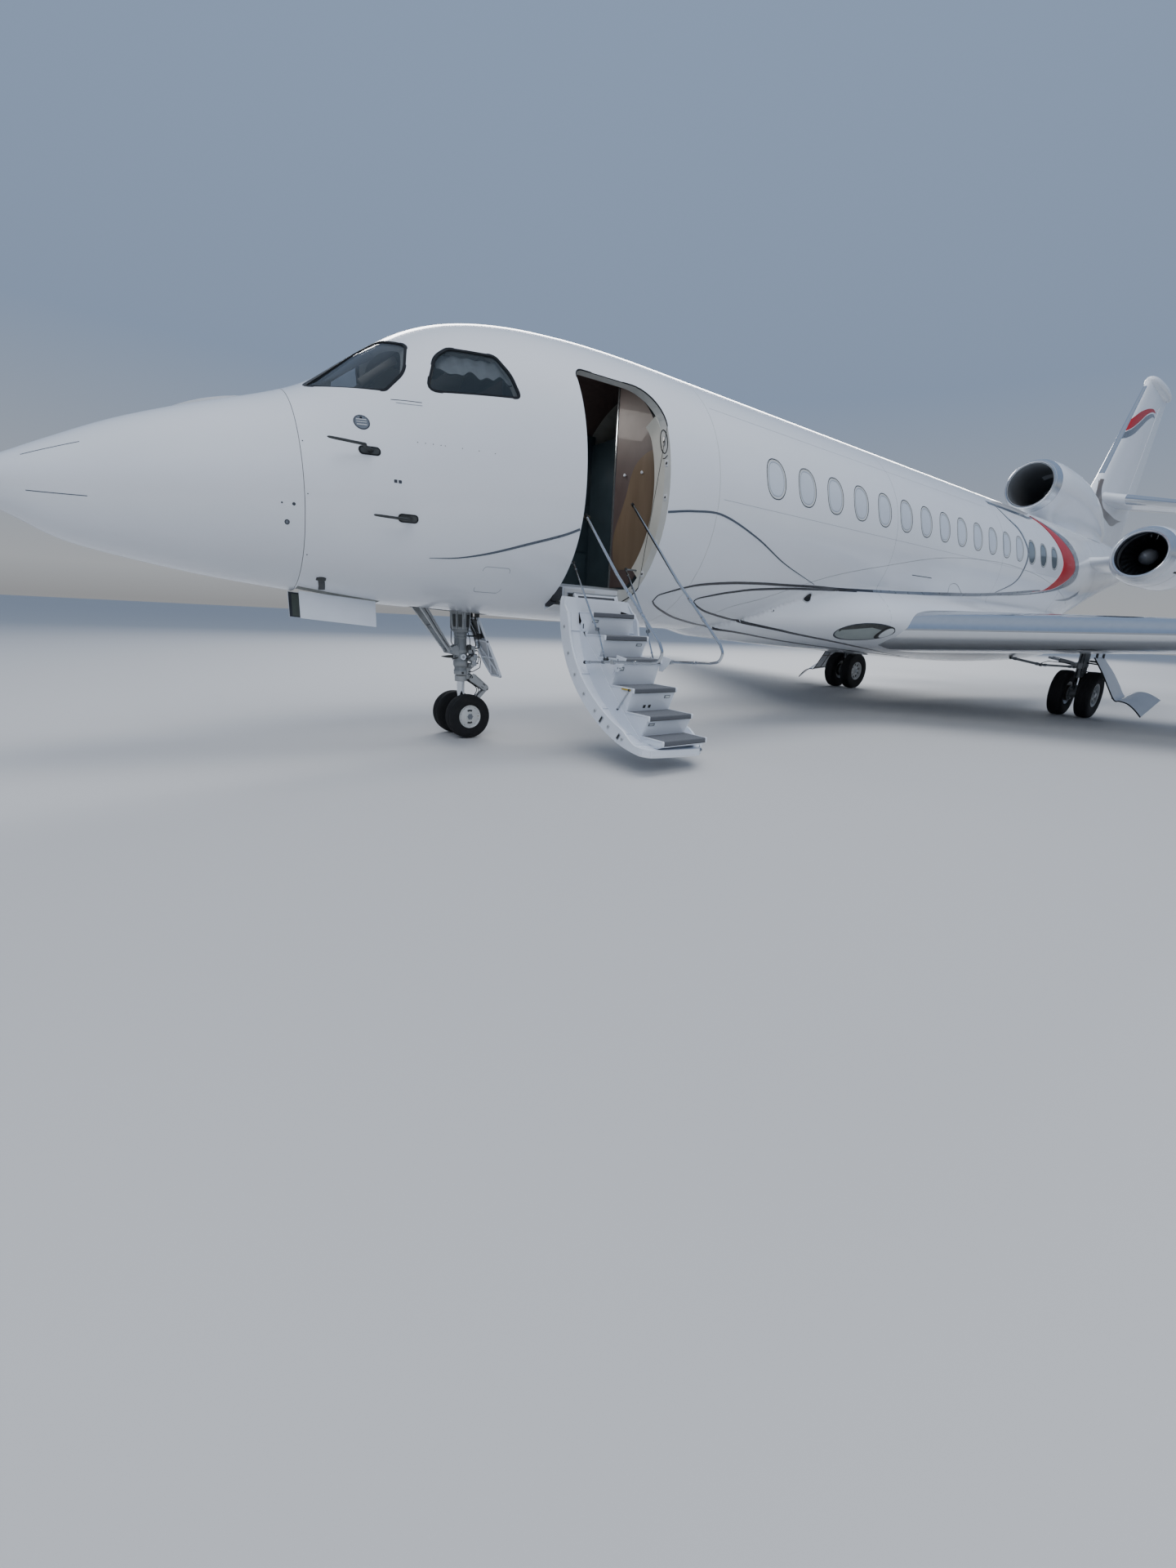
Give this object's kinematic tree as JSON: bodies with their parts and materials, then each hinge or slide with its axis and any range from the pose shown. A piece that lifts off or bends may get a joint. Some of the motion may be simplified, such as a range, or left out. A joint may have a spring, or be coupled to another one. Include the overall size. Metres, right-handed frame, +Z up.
{
  "type": "business jet",
  "caption": "Three-engined business jet parked on its gear, airstair down, with turning wheels and fans, steering, bay doors and control surfaces.",
  "frame": {"origin": "middle of the bounding box, on the ground", "axes": "+X aft from the nose, +Y starboard, +Z up; the cabin door is on the port side, -Y"},
  "size_m": [24.46, 26.2908, 7.94],
  "materials": {
    "paint": "gloss",
    "glazing": "clear, tinted",
    "veneer": "satin lacquer",
    "lining": "matte",
    "engine_metal": "brushed",
    "gear_metal": "painted and machined",
    "tyre_rubber": "matte",
    "tread": "carpet and white paint",
    "polished": "polished"
  },
  "bodies": {
    "airframe": {"radome": "paint", "nose_fuselage": "paint", "forward_fuselage": "paint", "cabin_fuselage": "paint", "rear_fuselage": "paint", "wing_fairing": "paint", "windshield_right": "glazing", "windshield_left": "glazing", "side_window_right": "glazing", "side_window_left": "glazing", "cockpit_bulkhead": "lining", "entry_closet": "veneer", "wing_right": "paint", "wing_left": "paint", "fin": "paint", "stabiliser_right": "paint", "stabiliser_left": "paint", "centre_intake": "paint", "centre_nozzle": "engine_metal", "engine_centre": "engine_metal", "nacelle_right": "paint", "nacelle_left": "paint", "engine_right": "engine_metal", "engine_left": "engine_metal", "pylon_right": "paint", "pylon_left": "paint", "nose_gear_leg": "gear_metal", "nose_drag_brace": "gear_metal", "nose_leg_door": "gear_metal", "main_gear_leg_right": "gear_metal", "main_gear_leg_left": "gear_metal", "main_side_brace_right": "gear_metal", "main_side_brace_left": "gear_metal", "main_leg_door_right": "paint", "main_leg_door_left": "paint"},
    "nose_steering": {"nose_fork": "gear_metal"},
    "nose_wheels": {"nose_wheel_right": "tyre_rubber", "nose_wheel_left": "tyre_rubber"},
    "main_wheels_right": {"main_wheel_right_inner": "tyre_rubber", "main_wheel_right_outer": "tyre_rubber"},
    "main_wheels_left": {"main_wheel_left_inner": "tyre_rubber", "main_wheel_left_outer": "tyre_rubber"},
    "fan_rotor_right": {"fan_right": "engine_metal"},
    "fan_rotor_left": {"fan_left": "engine_metal"},
    "airstair": {"airstair_shell": "paint", "airstair_steps": "tread"},
    "rail_fore": {"handrail_fore": "polished"},
    "rail_aft": {"handrail_aft": "polished"},
    "stay_fore_upper": {"stay_upper_fore": "polished"},
    "stay_fore_lower": {"stay_lower_fore": "polished"},
    "stay_aft_upper": {"stay_upper_aft": "polished"},
    "stay_aft_lower": {"stay_lower_aft": "polished"},
    "bay_door_right": {"nose_bay_door_right": "paint"},
    "bay_door_left": {"nose_bay_door_left": "paint"},
    "rudder_panel": {"rudder": "paint"},
    "elevator_panel_right": {"elevator_right": "paint"},
    "elevator_panel_left": {"elevator_left": "paint"},
    "aileron_panel_right": {"aileron_right": "paint"},
    "aileron_panel_left": {"aileron_left": "paint"}
  },
  "joints": [
    {"name": "nose_steer", "type": "hinge", "parent": "airframe", "child": "nose_steering", "pos_m": [-8.8, 0, 0.6], "axis": [0, 0, 1], "range_deg": [-60, 60]},
    {"name": "nose_wheel_spin", "type": "hinge", "parent": "nose_steering", "child": "nose_wheels", "pos_m": [-8.8, 0, 0.22225], "axis": [0, 1, 0], "continuous": true},
    {"name": "main_wheel_spin_right", "type": "hinge", "parent": "airframe", "child": "main_wheels_right", "pos_m": [2.05, 2.2475, 0.4], "axis": [0, 1, 0], "continuous": true},
    {"name": "main_wheel_spin_left", "type": "hinge", "parent": "airframe", "child": "main_wheels_left", "pos_m": [2.05, -2.2475, 0.4], "axis": [0, 1, 0], "continuous": true},
    {"name": "fan_spin_right", "type": "hinge", "parent": "airframe", "child": "fan_rotor_right", "pos_m": [5.1, 2.041, 3.015], "axis": [1, 0, 0], "continuous": true},
    {"name": "fan_spin_left", "type": "hinge", "parent": "airframe", "child": "fan_rotor_left", "pos_m": [5.1, -2.041, 3.015], "axis": [1, 0, 0], "continuous": true},
    {"name": "airstair_swing", "type": "hinge", "parent": "airframe", "child": "airstair", "pos_m": [-7.78, -0.86, 1.39], "axis": [1, 0, 0], "range_deg": [-126, 0]},
    {"name": "rail_fold_fore", "type": "hinge", "parent": "airstair", "child": "rail_fore", "pos_m": [-8.13, -1.656, 0.889], "axis": [1, 0, 0], "range_deg": [0, 31]},
    {"name": "rail_fold_aft", "type": "hinge", "parent": "airstair", "child": "rail_aft", "pos_m": [-7.43, -1.656, 0.889], "axis": [1, 0, 0], "range_deg": [0, 37]},
    {"name": "stay_swing_fore_upper", "type": "hinge", "parent": "airframe", "child": "stay_fore_upper", "pos_m": [-8.094, -0.938, 1.731], "axis": [1, 0, 0], "range_deg": [-158, 0]},
    {"name": "stay_swing_fore_lower", "type": "hinge", "parent": "airstair", "child": "stay_fore_lower", "pos_m": [-8.074, -1.461, 0.897], "axis": [1, 0, 0], "range_deg": [0, 127]},
    {"name": "stay_swing_aft_upper", "type": "hinge", "parent": "airframe", "child": "stay_aft_upper", "pos_m": [-7.466, -0.938, 1.731], "axis": [1, 0, 0], "range_deg": [-158, 0]},
    {"name": "stay_swing_aft_lower", "type": "hinge", "parent": "airstair", "child": "stay_aft_lower", "pos_m": [-7.486, -1.461, 0.897], "axis": [1, 0, 0], "range_deg": [0, 127]},
    {"name": "bay_door_swing_right", "type": "hinge", "parent": "airframe", "child": "bay_door_right", "pos_m": [-10.0175, 0.24, 1.325], "axis": [0.9967, 0, -0.081], "range_deg": [-90, 0]},
    {"name": "bay_door_swing_left", "type": "hinge", "parent": "airframe", "child": "bay_door_left", "pos_m": [-10.0175, -0.24, 1.325], "axis": [0.9967, 0, -0.081], "range_deg": [0, 90]},
    {"name": "rudder_swing", "type": "hinge", "parent": "airframe", "child": "rudder_panel", "pos_m": [10.73123, 0, 6.27117], "axis": [0.3604, 0, 0.9328], "range_deg": [-29, 29]},
    {"name": "elevator_swing_right", "type": "hinge", "parent": "airframe", "child": "elevator_panel_right", "pos_m": [11.03576, 2.61889, 4.45588], "axis": [0.3855, 0.9133, -0.1316], "range_deg": [-25, 20]},
    {"name": "elevator_swing_left", "type": "hinge", "parent": "airframe", "child": "elevator_panel_left", "pos_m": [11.03576, -2.61889, 4.45588], "axis": [0.3855, -0.9133, -0.1316], "range_deg": [-20, 25]},
    {"name": "aileron_swing_right", "type": "hinge", "parent": "airframe", "child": "aileron_panel_right", "pos_m": [4.34336, 10.68023, 1.7069], "axis": [0.3293, 0.9433, 0.0419], "range_deg": [-25, 25]},
    {"name": "aileron_swing_left", "type": "hinge", "parent": "airframe", "child": "aileron_panel_left", "pos_m": [4.34336, -10.68023, 1.7069], "axis": [0.3293, -0.9433, 0.0419], "range_deg": [-25, 25]}
  ],
  "couplings": [
    {"joint": "rail_fold_fore", "follows": "airstair_swing", "ratio": -0.2381},
    {"joint": "rail_fold_aft", "follows": "airstair_swing", "ratio": -0.2857},
    {"joint": "stay_swing_fore_upper", "follows": "airstair_swing", "ratio": 1.2454},
    {"joint": "stay_swing_aft_upper", "follows": "airstair_swing", "ratio": 1.2454},
    {"joint": "stay_swing_fore_lower", "follows": "airstair_swing", "ratio": -1},
    {"joint": "stay_swing_aft_lower", "follows": "airstair_swing", "ratio": -1}
  ]
}
